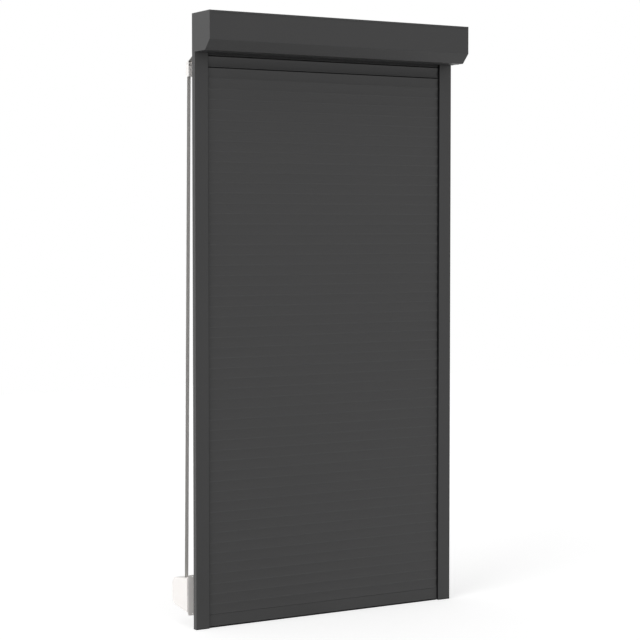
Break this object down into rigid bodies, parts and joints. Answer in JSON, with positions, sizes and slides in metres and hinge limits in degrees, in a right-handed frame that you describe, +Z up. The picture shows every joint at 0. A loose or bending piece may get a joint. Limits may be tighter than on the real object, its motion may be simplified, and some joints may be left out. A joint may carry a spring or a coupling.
{
  "type": "exterior roller shutter",
  "caption": "Exterior roller shutter with anthracite aluminium slat curtain, bevelled box, side guide rails and a strap winder, curtain closed",
  "frame": {"origin": "the back plane of rails and box, in the middle of the four outer rail fixing holes", "axes": "+X to the right seen from outside, +Y from outside towards the window, +Z up"},
  "size_m": [1.1075, 0.299, 2.2],
  "materials": {
    "anthracite_sheet": "fine matt powder coat",
    "anthracite_rail": "fine matt powder coat",
    "anthracite_slat": "satin coil coat",
    "anthracite_cap": "matt moulded",
    "dark_screws": "blackened",
    "bearing_steel": "turned",
    "zinc_steel": "galvanised",
    "spring_steel": "rolled",
    "black_plastic": "moulded",
    "black_rubber": "matt",
    "white_plastic": "satin moulded",
    "grey_strap": "woven"
  },
  "bodies": {
    "frame": {"box_top_cover": "anthracite_sheet", "box_front_cover": "anthracite_sheet", "end_cap_left": "anthracite_cap", "end_cap_right": "anthracite_cap", "cover_screws": "dark_screws", "bearing_left": "bearing_steel", "bearing_right": "bearing_steel", "guide_rail_left": "anthracite_rail", "guide_rail_right": "anthracite_rail", "rail_seals_left": "black_rubber", "rail_seals_right": "black_rubber", "inlet_funnel_left": "black_plastic", "inlet_funnel_right": "black_plastic", "rail_foot_left": "black_plastic", "rail_foot_right": "black_plastic", "access_hole_caps": "anthracite_cap", "strap": "grey_strap", "strap_guide_body": "white_plastic", "strap_guide_pin": "bearing_steel", "winder_plate": "white_plastic", "winder_case_left": "white_plastic", "winder_case_right": "white_plastic", "winder_axle": "bearing_steel", "winder_spring": "spring_steel", "winder_screws": "bearing_steel"},
    "roller": {"roller_tube": "zinc_steel", "roller_plug_left": "black_plastic", "roller_plug_right": "black_plastic", "hanger_springs": "spring_steel", "strap_pulley": "white_plastic", "pulley_strap_coil": "grey_strap"},
    "guide_roller": {"strap_guide_roller": "white_plastic"},
    "spool": {"winder_spool": "white_plastic", "winder_strap_coil": "grey_strap"},
    "curtain_foot": {"bottom_rail": "anthracite_rail", "bottom_seal": "black_rubber", "bottom_rail_glides": "black_plastic", "slats_01": "anthracite_slat"},
    "curtain_02": {"slats_02": "anthracite_slat"},
    "curtain_03": {"slats_03": "anthracite_slat"},
    "curtain_04": {"slats_04": "anthracite_slat"},
    "curtain_05": {"slats_05": "anthracite_slat"},
    "curtain_06": {"slats_06": "anthracite_slat"},
    "curtain_07": {"slats_07": "anthracite_slat"},
    "curtain_08": {"slats_08": "anthracite_slat"},
    "curtain_09": {"slats_09": "anthracite_slat"},
    "curtain_10": {"slats_10": "anthracite_slat"},
    "curtain_11": {"slats_11": "anthracite_slat"},
    "curtain_12": {"slats_12": "anthracite_slat"},
    "curtain_13": {"slats_13": "anthracite_slat"},
    "curtain_14": {"slats_14": "anthracite_slat"},
    "curtain_15": {"slats_15": "anthracite_slat"},
    "curtain_16": {"slats_16": "anthracite_slat"},
    "curtain_17": {"slats_17": "anthracite_slat"},
    "curtain_18": {"slats_18": "anthracite_slat"},
    "curtain_19": {"slats_19": "anthracite_slat"}
  },
  "joints": [
    {"name": "curtain_lift", "type": "slide", "parent": "frame", "child": "curtain_foot", "axis": [0, 0, 1], "range_m": [0, 2.015], "deforming": ["slats_02", "slats_03", "slats_04", "slats_05", "slats_06", "slats_07", "slats_08", "slats_09", "slats_10", "slats_11", "slats_12", "slats_13", "slats_14", "slats_15", "slats_16", "slats_17", "slats_18", "slats_19", "hanger_springs"]},
    {"name": "roller_turn", "type": "hinge", "parent": "frame", "child": "roller", "pos_m": [0, -0.0685, 1.0715], "axis": [1, 0, 0], "range_deg": [0, 2520.02]},
    {"name": "guide_roller_turn", "type": "hinge", "parent": "frame", "child": "guide_roller", "pos_m": [-0.537, 0.0422, 0.966], "axis": [1, 0, 0], "range_deg": [-11893, 0]},
    {"name": "spool_turn", "type": "hinge", "parent": "frame", "child": "spool", "pos_m": [-0.537, 0.105, -0.944], "axis": [1, 0, 0], "range_deg": [0, 2865]},
    {"name": "curtain_02_lift", "type": "slide", "parent": "frame", "child": "curtain_02", "axis": [0, 0, 1], "range_m": [0, 1.942]},
    {"name": "curtain_03_lift", "type": "slide", "parent": "frame", "child": "curtain_03", "axis": [0, 0, 1], "range_m": [0, 1.831]},
    {"name": "curtain_04_lift", "type": "slide", "parent": "frame", "child": "curtain_04", "axis": [0, 0, 1], "range_m": [0, 1.72]},
    {"name": "curtain_05_lift", "type": "slide", "parent": "frame", "child": "curtain_05", "axis": [0, 0, 1], "range_m": [0, 1.609]},
    {"name": "curtain_06_lift", "type": "slide", "parent": "frame", "child": "curtain_06", "axis": [0, 0, 1], "range_m": [0, 1.498]},
    {"name": "curtain_07_lift", "type": "slide", "parent": "frame", "child": "curtain_07", "axis": [0, 0, 1], "range_m": [0, 1.387]},
    {"name": "curtain_08_lift", "type": "slide", "parent": "frame", "child": "curtain_08", "axis": [0, 0, 1], "range_m": [0, 1.276]},
    {"name": "curtain_09_lift", "type": "slide", "parent": "frame", "child": "curtain_09", "axis": [0, 0, 1], "range_m": [0, 1.165]},
    {"name": "curtain_10_lift", "type": "slide", "parent": "frame", "child": "curtain_10", "axis": [0, 0, 1], "range_m": [0, 1.054]},
    {"name": "curtain_11_lift", "type": "slide", "parent": "frame", "child": "curtain_11", "axis": [0, 0, 1], "range_m": [0, 0.98]},
    {"name": "curtain_12_lift", "type": "slide", "parent": "frame", "child": "curtain_12", "axis": [0, 0, 1], "range_m": [0, 0.869]},
    {"name": "curtain_13_lift", "type": "slide", "parent": "frame", "child": "curtain_13", "axis": [0, 0, 1], "range_m": [0, 0.758]},
    {"name": "curtain_14_lift", "type": "slide", "parent": "frame", "child": "curtain_14", "axis": [0, 0, 1], "range_m": [0, 0.647]},
    {"name": "curtain_15_lift", "type": "slide", "parent": "frame", "child": "curtain_15", "axis": [0, 0, 1], "range_m": [0, 0.536]},
    {"name": "curtain_16_lift", "type": "slide", "parent": "frame", "child": "curtain_16", "axis": [0, 0, 1], "range_m": [0, 0.425]},
    {"name": "curtain_17_lift", "type": "slide", "parent": "frame", "child": "curtain_17", "axis": [0, 0, 1], "range_m": [0, 0.314]},
    {"name": "curtain_18_lift", "type": "slide", "parent": "frame", "child": "curtain_18", "axis": [0, 0, 1], "range_m": [0, 0.203]},
    {"name": "curtain_19_lift", "type": "slide", "parent": "frame", "child": "curtain_19", "axis": [0, 0, 1], "range_m": [0, 0.092]}
  ],
  "couplings": [
    {"joint": "roller_turn", "follows": "curtain_lift", "rad_per_m": 21.827},
    {"joint": "guide_roller_turn", "follows": "curtain_lift", "rad_per_m": -103},
    {"joint": "spool_turn", "follows": "curtain_lift", "rad_per_m": 24.8},
    {"joint": "curtain_02_lift", "follows": "curtain_lift", "ratio": 0.96328},
    {"joint": "curtain_03_lift", "follows": "curtain_lift", "ratio": 0.90819},
    {"joint": "curtain_04_lift", "follows": "curtain_lift", "ratio": 0.8531},
    {"joint": "curtain_05_lift", "follows": "curtain_lift", "ratio": 0.79801},
    {"joint": "curtain_06_lift", "follows": "curtain_lift", "ratio": 0.74293},
    {"joint": "curtain_07_lift", "follows": "curtain_lift", "ratio": 0.68784},
    {"joint": "curtain_08_lift", "follows": "curtain_lift", "ratio": 0.63275},
    {"joint": "curtain_09_lift", "follows": "curtain_lift", "ratio": 0.57767},
    {"joint": "curtain_10_lift", "follows": "curtain_lift", "ratio": 0.52258},
    {"joint": "curtain_11_lift", "follows": "curtain_lift", "ratio": 0.48586},
    {"joint": "curtain_12_lift", "follows": "curtain_lift", "ratio": 0.43077},
    {"joint": "curtain_13_lift", "follows": "curtain_lift", "ratio": 0.37568},
    {"joint": "curtain_14_lift", "follows": "curtain_lift", "ratio": 0.3206},
    {"joint": "curtain_15_lift", "follows": "curtain_lift", "ratio": 0.26551},
    {"joint": "curtain_16_lift", "follows": "curtain_lift", "ratio": 0.21042},
    {"joint": "curtain_17_lift", "follows": "curtain_lift", "ratio": 0.15533},
    {"joint": "curtain_18_lift", "follows": "curtain_lift", "ratio": 0.10025},
    {"joint": "curtain_19_lift", "follows": "curtain_lift", "ratio": 0.04516}
  ]
}
